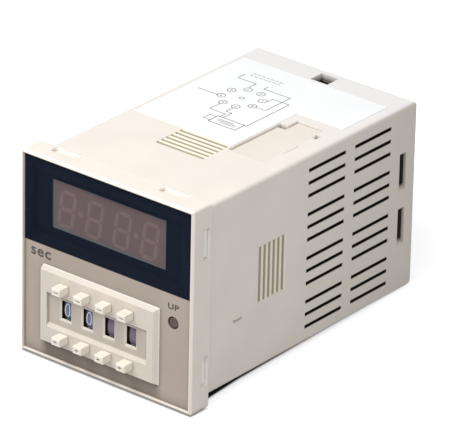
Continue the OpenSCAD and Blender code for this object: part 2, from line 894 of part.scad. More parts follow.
// Upper button: head, shoulder behind the plate, arm over the drum, pawl and spring pad
module button_body() {
    front = frame_y - button_out;
    low = button_off - button_h / 2;
    high = button_off + button_h / 2;
    half = button_w / 2;
    back = plate_back_y + rest_gap + shoulder_t;
    intersection() {
        along_x(-half, half)
            polygon([[back, low], [front + button_edge, low], [front, low + button_edge],
                     [front, high - button_edge], [front + button_edge, high], [back, high]]);
        along_z(low, high)
            polygon([[-half, back], [-half, front + button_edge], [button_edge - half, front],
                     [half - button_edge, front], [half, front + button_edge], [half, back]]);
    }
    box([-shoulder_half, plate_back_y + rest_gap, low], [shoulder_half, back, arm_top]);
    box([-half, plate_back_y + rest_gap, arm_z], [wheel_half, arm_y, arm_top]);
    box([drum_w / 2 + move_gap, drum_y - pawl_back - pawl_l, ratchet_tip + move_gap],
        [wheel_half, drum_y - pawl_back, arm_z + weld]);
    box([-pad_half, arm_y - pad_t, pad_low], [pad_half, arm_y, arm_top]);
}

// Bar of a sign, cut into the front face of the upper button
module sign_bar(l, h) {
    translate([0, frame_y - button_out, button_off])
        box([-l / 2, -past, -h / 2], [l / 2, sign_d, h / 2]);
}

module minus_button(i) color("#efe8d8") at_cell(i) difference() {
    button_body();
    sign_bar(minus_l, sign_t);
}

module plus_button(i) color("#efe8d8") at_cell(i) rotate([0, 180, 0]) difference() {
    button_body();
    sign_bar(plus_l, sign_t);
    sign_bar(sign_t, plus_l);
}

// Coil spring along Y, swept with a ring of points at each step
module coil_spring() {
    steps = spring_turns * spring_steps;
    ring = [for (s = [0:spring_sides - 1]) s * 360 / spring_sides];
    function spot(i, a) = let (
            turn = 360 * i / spring_steps,
            r = spring_r - spring_wire_r + spring_wire_r * cos(a),
            y = spring_wire_r + (spring_l - 2 * spring_wire_r) * i / steps + spring_wire_r * sin(a))
        [r * cos(turn), y, r * sin(turn)];
    points = [for (i = [0:steps], a = ring) spot(i, a)];
    sides = [for (i = [0:steps - 1], s = [0:spring_sides - 1])
        let (a = i * spring_sides + s, b = i * spring_sides + (s + 1) % spring_sides)
        [a, a + spring_sides, b + spring_sides, b]];
    first = [for (s = [0:spring_sides - 1]) s];
    last = [for (s = [spring_sides - 1:-1:0]) steps * spring_sides + s];
    polyhedron(points, concat(sides, [first], [last]));
}

module button_spring(i, side) color("#b9b9b4")
    at_cell(i) translate([0, arm_y + rest_gap, side * spring_z]) coil_spring();

// Parts on the boards

module transformer_core() color("#5a5a58")
    translate([transformer_x, rear_row_y, transformer_z]) difference() {
        cube([core_t, core_l, core_h], center = true);
        for (side = [-1, 1])
            translate([0, side * (core_leg + core_window_l) / 2, 0])
                cube([core_t + past, core_window_l, core_window_h], center = true);
    }

module transformer_coil() color("#b5763a")
    translate([transformer_x, rear_row_y, transformer_z]) difference() {
        wound = core_window_h / 2 - coil_gap;
        reach = core_leg / 2 + core_window_l - coil_gap;
        union() {
            along_z(-wound, wound)
                square([2 * coil_half_x - 2 * bobbin_t, 2 * reach - 2 * bobbin_t], center = true);
            for (end = [-1, 1])
                translate([0, 0, end * (wound - bobbin_t / 2)])
                    cube([2 * coil_half_x, 2 * reach, bobbin_t], center = true);
            for (end = [-1, 1])
                translate([coil_half_x - coil_foot / 2, 0, end * (wound - coil_foot / 2)])
                    cube([coil_foot, 2 * reach, coil_foot], center = true);
        }
        cube([core_t + 2 * coil_gap, core_leg + 2 * coil_gap, core_h], center = true);
    }

// Places a part on the inner face of a side board: x grows away from the board
module on_board(side, y, z) {
    translate([side * side_board_x, y, z]) mirror([side > 0 ? 1 : 0, 0, 0]) children();
}

// Box standing on its board, with its two long top edges chamfered
module edged_block(l, w, h, edge) {
    intersection() {
        along_x(0, h) square([l, w], center = true);
        along_z(-w / 2, w / 2)
            polygon([[0, -l / 2], [h - edge, -l / 2], [h, edge - l / 2], [h, l / 2 - edge],
                     [h - edge, l / 2], [0, l / 2]]);
    }
}

module relay() color("#e4e0d6")
    on_board(-1, rear_row_y, top_row_z) edged_block(relay_l, relay_w, relay_h, relay_edge);

module film_capacitor() color("#b59a2e")
    on_board(1, front_row_y, low_row_z) edged_block(film_l, film_w, film_h, film_edge);

module logic_chip() color("#26262a") on_board(-1, front_row_y, chip_z) {
    along_x(chip_lift, chip_lift + chip_h) square([chip_l, chip_w], center = true);
    for (i = [-3.5:1:3.5], end = [-1, 1])
        translate([0, i * chip_leg_pitch, end * chip_leg_z])
            along_x(0, chip_leg_h) square(chip_leg_t, center = true);
}

module crystal() color("#c8c8c4") on_board(-1, front_row_y, low_row_z)
    along_x(0, crystal_h) {
        square([crystal_l, crystal_d], center = true);
        for (end = [-1, 1])
            translate([end * crystal_l / 2, 0]) circle(d = crystal_d, $fn = 32);
    }

// Electrolytic capacitor: can with a rolled groove, standing on its board
module can(r, h) {
    low = can_groove_h;
    high = can_groove_h + 2 * can_groove;
    turned_x() polygon([[0, 0], [r, 0], [r, low], [r - can_groove, low + can_groove],
                        [r - can_groove, high], [r, high + can_groove], [r, h - can_edge],
                        [r - can_edge, h], [0, h]]);
}

module supply_capacitor() color("#20242e")
    on_board(1, front_row_y, top_row_z) can(supply_r, supply_h);

module small_capacitor() color("#20242e")
    on_board(-1, rear_row_y, small_z) can(small_r, small_h);

// Strip between the display board's rear and the main board, with a row of sockets
module board_header() color("#202022")
    translate([-side_board_x, display_board_y + board_t + rest_gap, header_z]) difference() {
        box([0, 0, -header_l / 2], [header_w, header_w, header_l / 2]);
        for (i = [-2.5:1:2.5])
            translate([header_w - socket_depth, header_w / 2, i * socket_pitch])
                along_x(0, socket_depth + past) square(socket_w, center = true);
    }

front_bezel();
front_panel();
display_filter();
display_mask();
main_case();
top_cover();
top_label();
rear_base();
key_post();
base_board();
display_board();
main_board();
power_board();
display_body();
display_segments();
up_lamp();
switch_housing();
switch_board();
wheel_axle();
transformer_core();
transformer_coil();
relay();
logic_chip();
crystal();
supply_capacitor();
small_capacitor();
film_capacitor();
board_header();
for (i = [1:8]) plug_pin(i);
for (i = [1:4]) {
    digit_wheel(i);
    minus_button(i);
    plus_button(i);
    button_spring(i, 1);
    button_spring(i, -1);
}
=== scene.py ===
"""Looks of the plug-in digital timer, built round its CAD model.

The frame is that of the CAD model, in metres: X to the right, Y from the front to the rear, Z up.
Most sizes and places are written as millimetres times MM. The object stands on the lower edge of
its bezel and the lower rear edge of its case.
"""

import json
import math

import bmesh
import bpy
from mathutils import Matrix, Vector


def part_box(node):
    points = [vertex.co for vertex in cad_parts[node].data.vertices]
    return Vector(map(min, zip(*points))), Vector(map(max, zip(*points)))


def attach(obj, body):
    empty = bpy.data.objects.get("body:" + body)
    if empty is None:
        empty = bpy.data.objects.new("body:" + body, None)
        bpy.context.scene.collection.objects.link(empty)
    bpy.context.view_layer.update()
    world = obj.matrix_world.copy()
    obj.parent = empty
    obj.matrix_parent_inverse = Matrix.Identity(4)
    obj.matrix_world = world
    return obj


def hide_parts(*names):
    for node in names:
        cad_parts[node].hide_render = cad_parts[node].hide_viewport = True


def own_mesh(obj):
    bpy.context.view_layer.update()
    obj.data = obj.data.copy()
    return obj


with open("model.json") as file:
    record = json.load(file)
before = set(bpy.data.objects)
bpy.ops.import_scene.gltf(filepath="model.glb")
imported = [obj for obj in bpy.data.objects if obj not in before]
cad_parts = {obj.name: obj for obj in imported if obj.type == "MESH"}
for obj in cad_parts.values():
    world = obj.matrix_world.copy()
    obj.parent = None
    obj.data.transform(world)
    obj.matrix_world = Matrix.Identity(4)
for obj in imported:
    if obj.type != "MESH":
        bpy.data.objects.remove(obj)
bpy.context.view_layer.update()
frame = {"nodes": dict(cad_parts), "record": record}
nodes = frame["nodes"]
MM = 0.001

# Surfaces and edges that the looks are placed by, read from the CAD nodes
BEZEL_LOW, BEZEL_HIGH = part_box("front_bezel")
SWITCH_LOW, SWITCH_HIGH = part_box("switch_housing")
WHEEL_LOW, WHEEL_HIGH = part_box("digit_wheel_1")
PANEL_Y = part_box("front_panel")[0].y
LABEL_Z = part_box("top_label")[1].z
CASE_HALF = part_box("top_label")[0].z
CASE_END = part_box("main_case")[1].y
DRUM_R = (WHEEL_HIGH.z - WHEEL_LOW.z) / 2
WHEEL_Z = (WHEEL_HIGH.z + WHEEL_LOW.z) / 2

# The switch: its columns, its two rows of buttons, how far a button moves in, and how high the
# buttons' signs lie, SIGN_OFF above and below the wheels' axis
COLUMNS = range(1, 5)
SIGNS = ("minus", "plus")
SIGN_OFF = 5.95 * MM
SIGN_Z = {"minus": WHEEL_Z + SIGN_OFF, "plus": WHEEL_Z - SIGN_OFF}

# The photograph's size in pixels, and the camera fitted to it: its angles in degrees, its focal
# length and the middle of its view in pixels, and where the frame's origin lies, seen from it
PHOTO_W, PHOTO_H = 453, 428
CAMERA_AZIMUTH, CAMERA_ELEVATION, CAMERA_ROLL = 38.71, 25.65, 1.24
FOCAL_LENGTH = 5088.26
MIDDLE_X, MIDDLE_Y = 226.35, 214.05
ORIGIN_RIGHT, ORIGIN_UP, ORIGIN_AWAY = -22.02 * MM, -12.53 * MM, 1085.35 * MM
SENSOR_W = 36
CLIP_NEAR, CLIP_FAR = 0.05, 20

# Even light all round, and the square lamps: name, place and width in millimetres, and power
WHITE = (1, 1, 1)
AMBIENT = 0.54
AMBIENT_COLOUR = (0.97, 0.98, 1.0)
LAMP_TARGET = Vector((0, 30, 0)) * MM
LAMPS = (("key_lamp", (-105, -255, 430), 300, 1.68),
         ("side_lamp", (303, -273, 360), 300, 0.72))

# Floor: how far it reaches and lies below what it is laid through, which is the bezel's lower edge
# and a line near the case's rear edge, in from its end and down from its underside
FLOOR_REACH = 2500 * MM
FLOOR_DROP = 0.02 * MM
FOOT_IN, FOOT_DOWN = 1.6 * MM, 0.05 * MM

# The floor's grey, which lights the object from below, its white, which is seen, with the part of
# it that glows, and the dark of its painted shadow in the gap under the case
FLOOR_GREY = (0.42, 0.42, 0.425)
FLOOR_WHITE = (0.9, 0.9, 0.91)
FLOOR_GLOW = 0.45
FLOOR_SHADOW = (0.03, 0.025, 0.02)

# The painted shadow in the gap under the case: half its width, how much it widens from GAP_WIDENS_Y
# to the bezel, how far it ends before the ends of the case, and how softly it ends at its sides and
# its ends
GAP_HALF = 20.8 * MM
GAP_GROWTH = 0.8 * MM
GAP_WIDENS_Y = 14 * MM
GAP_END = 1.5 * MM
GAP_SOFT, GAP_END_SOFT = 0.7 * MM, 0.3 * MM

# The painted shadow on the floor along the bezel's foot: what is left of the white, where the shadow
# starts to fade and where it ends, and how it fades behind the bezel and at its left
CONTACT_SHARE = 0.25
CONTACT_FROM, CONTACT_TO = 0.1 * MM, 1.1 * MM
CONTACT_CURVE = 0.5
CONTACT_REAR = 1.5 * MM
CONTACT_LEFT_IN, CONTACT_LEFT_OUT = 0.8 * MM, 0.1 * MM

# Colours of the mouldings, of the highlights and shades painted on them, and of the wheels' bands
IVORY = (0.82, 0.76, 0.68)
COVER_IVORY = (0.79, 0.73, 0.65)
FRAME_IVORY = (0.72, 0.645, 0.56)
PAINTED_HIGHLIGHT = (0.95, 0.92, 0.87)
RIM_HIGHLIGHT = (0.90, 0.82, 0.73)
WALL_HIGHLIGHT = (0.98, 0.95, 0.93)
REAR_SIDE_SHADE, REAR_TOP_SHADE = (0.63, 0.573, 0.512), (0.80, 0.80, 0.81)
TOOTH_SHADE, TOOTH_HIGHLIGHT = (0.36, 0.315, 0.22), (0.90, 0.84, 0.70)
PAINTED_SHADE = (0.10, 0.075, 0.055)
# Near-black painted shade in cuts, behind the panel's plane and on the wheels' ends
PAINTED_DEEP_SHADE = (0.012, 0.009, 0.006)
BAND_BLUE, BAND_PURPLE = (0.14, 0.17, 0.27), (0.20, 0.145, 0.225)

# Places on the case where light and shade are painted: the vents, the grip teeth and the raised mark
# low on its right side
VENTS_Y, VENTS_HALF = 49 * MM, 16 * MM
TEETH = 6
TEETH_START, TEETH_PITCH, TEETH_W = 18.2 * MM, 1.56 * MM, 13.2 * MM
TEETH_Y = TEETH_START + TEETH / 2 * TEETH_PITCH
TEETH_HALF = TEETH / 2 * TEETH_PITCH - 0.1 * MM
MARK_Y, MARK_HALF = 11.2 * MM, 1.4 * MM
MARK_Z, MARK_HALF_Z = -7.95 * MM, 0.4 * MM
MARK_X = CASE_HALF + 0.02 * MM

# Places on the front where light and shade are painted: the rear wall of the latch windows, how deep
# in the bezel's sides it shows, and the recess in the switch's frame
LATCH_WALL_Y, LATCH_WALL_HALF = -0.4 * MM, 0.1 * MM
WINDOW_DEPTH, WINDOW_HALF = 0.4 * MM, 0.35 * MM
RECESS_LOW, RECESS_HIGH = Vector((-16.2, 0, -15.8)) * MM, Vector((12.0, 0, -7.4)) * MM
RECESS_Y, RECESS_Y_HALF = PANEL_Y - 0.4 * MM, 0.05 * MM

# The display filter: its cover at its middle, how far in from its edges it is clear, how wide they
# turn opaque, and how much light comes back through it from the film behind
FILTER_ALPHA = 0.28
FILTER_CLEAR, FILTER_EDGE = 3.2 * MM, 2.8 * MM
FILM_SHARE, FILM_POWER = 2.97, 5

# Print: how far it stands off its surface, and the front legends: name, words, X and Z of the
# middle, height and width in millimetres, and weight
INK = 0.02 * MM
LEGENDS = (("legend_sec", "sec", -18.6, 0.6, 1.85, 5.6, 0.02),
           ("legend_up", "UP", 18.4, -0.1, 1.42, 3.0, 0.026))

# Digits on the wheels: height, width and the strips that they are bent in, in millimetres, their
# weight, how far they lie to the left of the middle, and how far they are turned up, in radians
DIGITS = 10
DIGIT_H, DIGIT_W, DIGIT_STRIP = 3.3, 1.5, 0.3
DIGIT_WEIGHT = -0.012
DIGIT_LEFT = 0.12 * MM
DIGIT_TURN = 0.03
BLANK_WHEELS = (3, 4)

# Half sizes of the signs on the buttons, and how deep their paint lies
MINUS_HALF, PLUS_HALF, STROKE_HALF = 0.72 * MM, 0.58 * MM, 0.12 * MM
SIGN_DEPTH = 0.08 * MM

# Wiring diagram on the label, in millimetres: its line widths, the ring of pins round the post with
# their digits, the supply box with its wires and marks, the contact wires and the rows of dashes
LINE_W, BOX_LINE_W = 0.17, 0.2
PINS = 8
RING_X, RING_Y, RING_R = -7.0, 48.1, 4.75
PIN_R, POST_R = 0.95, 0.55
PIN_DIGIT_H, PIN_DIGIT_WEIGHT = 0.95, -0.01
SUPPLY_BOX = ((-5.0, 34.0), (2.4, 34.0), (2.4, 37.4), (-5.0, 37.4))
SUPPLY_LINES = (
    ((-5.2, 42.7), (-5.2, 40.4), (-3.6, 40.4), (-3.6, 37.4)),
    ((-8.8, 42.7), (-8.8, 39.2), (-4.4, 39.2), (-4.4, 37.4)),
    ((-6.8, 34.6), (-6.8, 36.8), (-5.0, 36.8)),
    ((-6.8, 34.6), (-5.0, 34.6)),
    ((-3.9, 35.7), (1.3, 35.7)),
    ((-3.9, 36.3), (0.4, 36.3)),
    ((-2.6, 35.1), (1.3, 35.1)),
)
CONTACT_LINES = (
    ((2.4, 37.2), (3.0, 37.2), (3.0, 52.1), (-1.6, 52.1), (-1.6, 50.4)),
    ((-1.7, 46.3), (1.0, 46.3), (1.0, 55.0), (-6.4, 55.0), (-6.4, 56.4)),
    ((-9.4, 53.6), (-9.4, 56.0), (-14.6, 56.0), (-14.6, 58.6)),
    ((-12.2, 46.0), (-17.6, 46.0)),
)
DASH_ROWS, DASHES = 2, 7
DASH_X, DASH_Y = -13.4, 59.0
DASH_L, DASH_PITCH, DASH_ROW_PITCH = 0.8, 1.25, 1.1


# Objects and meshes

def add_object(name, data):
    """New object in the scene for a mesh, curve, lamp or camera."""
    made = bpy.data.objects.new(name, data)
    bpy.context.scene.collection.objects.link(made)
    return made


def add_piece(name, mesh, material, body="case"):
    """Object for a finished mesh, riding on a CAD body."""
    piece = add_object(name, mesh)
    mesh.materials.append(material)
    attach(piece, body)
    return piece


def finished(made, name):
    """Turns edited geometry into a named mesh and frees it."""
    mesh = bpy.data.meshes.new(name)
    made.to_mesh(mesh)
    made.free()
    return mesh


# Values in shader trees

def math_node(tree, operation, *values):
    """Math node whose inputs are numbers or the outputs of other nodes."""
    made = tree.nodes.new("ShaderNodeMath")
    made.operation = operation
    for socket, value in zip(made.inputs, values):
        if isinstance(value, bpy.types.NodeSocket):
            tree.links.new(value, socket)
        else:
            socket.default_value = value
    return made.outputs[0]


def product(tree, first, *others):
    """Product of two or more values."""
    for other in others:
        first = math_node(tree, "MULTIPLY", first, other)
    return first


def difference(tree, first, second):
    """The first value less the second."""
    return math_node(tree, "SUBTRACT", first, second)


def largest(tree, first, second):
    """The larger of two values."""
    return math_node(tree, "MAXIMUM", first, second)


def distance(tree, value, middle):
    """How far a value lies from a middle, to either side."""
    return math_node(tree, "ABSOLUTE", difference(tree, value, middle))


def within(tree, value, middle, half):
    """1 up to half a width from a middle, and 0 beyond it."""
    return math_node(tree, "COMPARE", value, middle, half)


def above(tree, value, limit):
    """1 above the limit, and 0 below it."""
    return math_node(tree, "GREATER_THAN", value, limit)


def below(tree, value, limit):
    """1 below the limit, and 0 above it."""
    return math_node(tree, "LESS_THAN", value, limit)


def between(tree, share, low, high):
    """Runs a share from 0 to 1 into a value from low to high."""
    return math_node(tree, "MULTIPLY_ADD", share, high - low, low)


def rising(tree, value, low, high):
    """Runs from 0 at low to 1 at high, and stays there."""
    made = tree.nodes.new("ShaderNodeMapRange")
    made.inputs["From Min"].default_value = low
    made.inputs["From Max"].default_value = high
    tree.links.new(value, made.inputs["Value"])
    return made.outputs["Result"]


def axes(tree):
    """The object's own X, Y and Z."""
    place = tree.nodes.new("ShaderNodeTexCoord")
    split = tree.nodes.new("ShaderNodeSeparateXYZ")
    tree.links.new(place.outputs["Object"], split.inputs["Vector"])
    return split.outputs["X"], split.outputs["Y"], split.outputs["Z"]


def off_middle(tree):
    """How far a point lies from the middle in X and in Z."""
    x, _, z = axes(tree)
    return math_node(tree, "ABSOLUTE", x), math_node(tree, "ABSOLUTE", z)


def sunk(tree, half):
    """How deep a point lies inside a square sleeve of the given half width."""
    side, top = off_middle(tree)
    return difference(tree, half, largest(tree, side, top))


def outside(tree, low, high, margin=0.0):
    """How far a point lies outside a box's X and Z grown by the margin; below 0 inside it."""
    x, _, z = axes(tree)
    past = [difference(tree, distance(tree, value, (start + end) / 2), (end - start) / 2 + margin)
            for value, start, end in ((x, low.x, high.x), (z, low.z, high.z))]
    return largest(tree, *past)


def noise(tree, scale, detail=2.0, roughness=0.5, stretch=(1, 1, 1)):
    """Noise in the object's own coordinates, stretched along its axes."""
    place = tree.nodes.new("ShaderNodeTexCoord")
    scaled = tree.nodes.new("ShaderNodeMapping")
    scaled.inputs["Scale"].default_value = stretch
    tree.links.new(place.outputs["Object"], scaled.inputs["Vector"])
    made = tree.nodes.new("ShaderNodeTexNoise")
    made.inputs["Scale"].default_value = scale
    made.inputs["Detail"].default_value = detail
    made.inputs["Roughness"].default_value = roughness
    tree.links.new(scaled.outputs["Vector"], made.inputs["Vector"])
    return made.outputs["Fac"]


def occlusion(tree, reach, strength, from_inside=False):
    """Grows up to the strength in corners within reach, or seen from inside along outer edges."""
    made = tree.nodes.new("ShaderNodeAmbientOcclusion")
    made.samples = 8
    made.inside = from_inside
    made.only_local = from_inside
    made.inputs["Distance"].default_value = reach * MM
    return between(tree, made.outputs["AO"], strength, 0)


def ramp(tree, value, low, high, low_colour, high_colour):
    """Runs a value from low to high into a colour between two."""
    made = tree.nodes.new("ShaderNodeValToRGB")
    made.color_ramp.elements[0].position = low
    made.color_ramp.elements[1].position = high
    made.color_ramp.elements[0].color = (*low_colour, 1)
    made.color_ramp.elements[1].color = (*high_colour, 1)
    tree.links.new(value, made.inputs["Fac"])
    return made.outputs["Color"]


def mixed(tree, share, first, second):
    """Colour between two, each an output or a plain colour."""
    made = tree.nodes.new("ShaderNodeMix")
    made.data_type = "RGBA"
    tree.links.new(share, made.inputs[0])
    for socket, colour in ((made.inputs[6], first), (made.inputs[7], second)):
        if isinstance(colour, bpy.types.NodeSocket):
            tree.links.new(colour, socket)
        else:
            socket.default_value = (*colour, 1)
    return made.outputs[2]


# Camera and light

def add_camera():
    """Perspective camera at the angle, roll and distance fitted to the photograph."""
    azimuth, elevation = math.radians(CAMERA_AZIMUTH), math.radians(CAMERA_ELEVATION)
    roll = math.radians(CAMERA_ROLL)
    back = Vector((math.sin(azimuth) * math.cos(elevation),
                   -math.cos(azimuth) * math.cos(elevation), math.sin(elevation)))
    right = (-back).cross(Vector((0, 0, 1))).normalized()
    up = right.cross(-back)
    x_axis = math.cos(roll) * right + math.sin(roll) * up
    y_axis = -math.sin(roll) * right + math.cos(roll) * up
    data = bpy.data.cameras.new("camera")
    data.sensor_width = SENSOR_W
    data.lens = SENSOR_W * FOCAL_LENGTH / PHOTO_W
    data.shift_x = (PHOTO_W / 2 - MIDDLE_X) / PHOTO_W
    data.shift_y = (MIDDLE_Y - PHOTO_H / 2) / PHOTO_W
    data.clip_start, data.clip_end = CLIP_NEAR, CLIP_FAR
    camera = add_object("camera", data)
    place = back * ORIGIN_AWAY - x_axis * ORIGIN_RIGHT - y_axis * ORIGIN_UP
    turn = Matrix((x_axis, y_axis, back)).transposed().to_4x4()
    camera.matrix_world = Matrix.Translation(place) @ turn
    bpy.context.scene.camera = camera


def add_lamp(name, place, size, power):
    """Square area lamp, aimed at the middle of the object."""
    data = bpy.data.lights.new(name, "AREA")
    data.shape = "SQUARE"
    data.size = size * MM
    data.energy = power
    place = Vector(place) * MM
    turn = (place - LAMP_TARGET).to_track_quat("Z", "Y").to_matrix().to_4x4()
    add_object(name, data).matrix_world = Matrix.Translation(place) @ turn


def cleared_tree(owner):
    """The emptied node tree of a new material or world."""
    owner.use_nodes = True
    owner.node_tree.nodes.clear()
    return owner.node_tree


def glowing(tree, kind, colour, strength):
    """Emission or background of a plain colour and strength."""
    made = tree.nodes.new(kind)
    made.inputs["Color"].default_value = (*colour, 1)
    made.inputs["Strength"].default_value = strength
    return made.outputs[0]


def diffuse(tree, colour):
    """Matt shade of a plain colour."""
    made = tree.nodes.new("ShaderNodeBsdfDiffuse")
    made.inputs["Color"].default_value = (*colour, 1)
    return made.outputs[0]


def seen_directly(tree):
    """1 for camera, glossy and transmitted rays, which see the pale backdrop."""
    path = tree.nodes.new("ShaderNodeLightPath")
    mirrored = largest(tree, path.outputs["Is Camera Ray"], path.outputs["Is Glossy Ray"])
    return largest(tree, mirrored, path.outputs["Is Transmission Ray"])


def mixed_shade(tree, share, first, second):
    """Shade between two: the first at a share of 0, the second at 1."""
    mix = tree.nodes.new("ShaderNodeMixShader")
    tree.links.new(share, mix.inputs["Fac"])
    tree.links.new(first, mix.inputs[1])
    tree.links.new(second, mix.inputs[2])
    return mix.outputs[0]


def add_world():
    """Even grey light all round, seen as white."""
    world = bpy.data.worlds.new("studio")
    bpy.context.scene.world = world
    tree = cleared_tree(world)
    ambient = glowing(tree, "ShaderNodeBackground", AMBIENT_COLOUR, AMBIENT)
    white = glowing(tree, "ShaderNodeBackground", WHITE, 1.0)
    output = tree.nodes.new("ShaderNodeOutputWorld")
    tree.links.new(mixed_shade(tree, seen_directly(tree), ambient, white), output.inputs["Surface"])


def clear_of_gap(tree):
    """0 in the painted shadow of the gap under the case, which widens towards the bezel, and 1 clear
    of it.
    """
    x, y, _ = axes(tree)
    growth = product(tree, rising(tree, y, GAP_WIDENS_Y, 0), GAP_GROWTH)
    off = difference(tree, math_node(tree, "ABSOLUTE", x), growth)
    beside = rising(tree, off, GAP_HALF, GAP_HALF + GAP_SOFT)
    end = CASE_END / 2 - GAP_END
    beyond = rising(tree, distance(tree, y, CASE_END / 2), end, end + GAP_END_SOFT)
    return largest(tree, beside, beyond)


def clear_of_contact(tree):
    """Painted shadow along the front and right side of the bezel's foot: lowest there, and 1 clear of
    them.
    """
    x, y, _ = axes(tree)
    middle, half = (BEZEL_LOW.y + BEZEL_HIGH.y) / 2, (BEZEL_HIGH.y - BEZEL_LOW.y) / 2
    past = largest(tree, difference(tree, math_node(tree, "ABSOLUTE", x), BEZEL_HIGH.x),
                   difference(tree, distance(tree, y, middle), half))
    fade = rising(tree, past, CONTACT_FROM, CONTACT_TO)
    clear = math_node(tree, "POWER", fade, CONTACT_CURVE)
    clear = largest(tree, clear, rising(tree, y, BEZEL_HIGH.y - CONTACT_REAR, BEZEL_HIGH.y))
    left = rising(tree, x, BEZEL_LOW.x + CONTACT_LEFT_IN, BEZEL_LOW.x - CONTACT_LEFT_OUT)
    return between(tree, largest(tree, clear, left), CONTACT_SHARE, 1)


def floor_material():
    """White where it is seen, with painted shadow in the gap under the case and along the bezel's
    foot, and grey to all other light.
    """
    material = bpy.data.materials.new("floor")
    tree = cleared_tree(material)
    both = tree.nodes.new("ShaderNodeAddShader")
    tree.links.new(diffuse(tree, FLOOR_WHITE), both.inputs[0])
    tree.links.new(glowing(tree, "ShaderNodeEmission", WHITE, FLOOR_GLOW), both.inputs[1])
    clear = math_node(tree, "MINIMUM", clear_of_gap(tree), clear_of_contact(tree))
    seen = mixed_shade(tree, clear, diffuse(tree, FLOOR_SHADOW), both.outputs[0])
    shade = mixed_shade(tree, seen_directly(tree), diffuse(tree, FLOOR_GREY), seen)
    output = tree.nodes.new("ShaderNodeOutputMaterial")
    tree.links.new(shade, output.inputs["Surface"])
    material.cycles.emission_sampling = "NONE"
    return material


def add_floor():
    """Large square under the two edges that the object stands on."""
    front = Vector((0, BEZEL_LOW.y, BEZEL_LOW.z))
    rear = Vector((0, CASE_END - FOOT_IN, -CASE_HALF - FOOT_DOWN))
    across, along = Vector((1, 0, 0)), (rear - front).normalized()
    middle = (front + rear) / 2 - Vector((0, 0, FLOOR_DROP))
    corners = [middle + (across * x + along * y) * FLOOR_REACH
               for x, y in ((-1, -1), (1, -1), (1, 1), (-1, 1))]
    mesh = bpy.data.meshes.new("floor")
    mesh.from_pydata(corners, [], [(0, 1, 2, 3)])
    mesh.materials.append(floor_material())
    floor = add_object("floor", mesh)


# What the materials are made with

def principled(material):
    """The material's main shader."""
    return material.node_tree.nodes["Principled BSDF"]


def new_material(name, colour, roughness, **sockets):
    """Material whose uniform numbers are set on the shader's own sockets."""
    material = bpy.data.materials.new(name)
    material.use_nodes = True
    shader = principled(material)
    shader.inputs["Base Color"].default_value = (*colour, 1)
    shader.inputs["Roughness"].default_value = roughness
    for socket, value in sockets.items():
        shader.inputs[socket.replace("_", " ")].default_value = value
    return material


def add_mottle(material, colour, spread, scale=90.0):
    """Slow, faint change of the colour over the surface."""
    tree = material.node_tree
    dark = tuple(c * (1 - spread) for c in colour)
    light = tuple(min(1.0, c * (1 + spread)) for c in colour)
    value = noise(tree, scale, detail=4.0)
    made = ramp(tree, value, low=0.35, high=0.65, low_colour=dark, high_colour=light)
    tree.links.new(made, principled(material).inputs["Base Color"])
    return made


def add_grain(material, scale, depth, bevel=0.0, stretch=(1, 1, 1)):
    """Fine surface grain as bump, with edges rounded by the bevel radius in millimetres."""
    tree = material.node_tree
    bump = tree.nodes.new("ShaderNodeBump")
    bump.inputs["Distance"].default_value = depth * MM
    bump.inputs["Strength"].default_value = 1.0
    height = noise(tree, scale, detail=3.0, roughness=0.6, stretch=stretch)
    tree.links.new(height, bump.inputs["Height"])
    if bevel:
        edge = tree.nodes.new("ShaderNodeBevel")
        edge.samples = 6
        edge.inputs["Radius"].default_value = bevel * MM
        tree.links.new(edge.outputs["Normal"], bump.inputs["Normal"])
    tree.links.new(bump.outputs["Normal"], principled(material).inputs["Normal"])


def moulded(name, colour, roughness=0.5, grain=0.012, bevel=0.12, spread=0.02, gloss=0.4):
    """Moulded plastic with spark-eroded grain and softly rounded edges."""
    material = new_material(name, colour, roughness, Specular_IOR_Level=gloss)
    add_mottle(material, colour, spread)
    add_grain(material, scale=9000, depth=grain, bevel=bevel)
    return material


def metal(name, colour, roughness, stretch):
    """Bare or plated metal with fine marks across the axis that is stretched most."""
    material = new_material(name, colour, roughness, Metallic=1.0)
    add_grain(material, scale=60, depth=0.004, bevel=0.05, stretch=stretch)
    return material


def tint(material, share, other, strength=1.0):
    """Mixes another colour into the material's colour by a share from 0 to 1, times the strength."""
    tree = material.node_tree
    if strength < 1.0:
        share = product(tree, share, strength)
    socket = principled(material).inputs["Base Color"]
    colour = socket.links[0].from_socket
    tree.links.new(mixed(tree, share, colour, other), socket)


def pale_edges(material, reach, strength):
    """Paints a highlight along outer edges, up to the reach in millimetres from them."""
    tree = material.node_tree
    share = occlusion(tree, reach, strength, from_inside=True)
    tint(material, math_node(tree, "MINIMUM", share, 1), PAINTED_HIGHLIGHT)


def shade_corners(material, reach, strength):
    """Paints shade into corners that other surfaces within reach, in millimetres, hide."""
    tint(material, occlusion(material.node_tree, reach, strength), PAINTED_SHADE)


# Materials of the mouldings, with light and shade painted on them by place

def tint_case_ends(material):
    """Painted highlight on the sides of the tabs inside the bezel, and painted shade, greyer on the
    sides than on top, that grows towards the rear.
    """
    tree = material.node_tree
    y = axes(tree)[1]
    side, top = off_middle(tree)
    on_top = above(tree, top, side)
    tab_end, grey_from = -1.0 * MM, 30 * MM
    tabs = mixed(tree, on_top, PAINTED_HIGHLIGHT, IVORY)
    tint(material, rising(tree, y, 0, tab_end), tabs, strength=0.8)
    rear = mixed(tree, on_top, REAR_SIDE_SHADE, REAR_TOP_SHADE)
    tint(material, rising(tree, y, grey_from, CASE_END), rear, strength=0.7)


def tint_side_mark(material):
    """Painted shade on the raised mark low on the right side."""
    tree = material.node_tree
    x, y, z = axes(tree)
    on_mark = product(tree, within(tree, y, MARK_Y, MARK_HALF), within(tree, z, MARK_Z, MARK_HALF_Z),
                      above(tree, x, MARK_X))
    tint(material, on_mark, PAINTED_SHADE, strength=0.5)


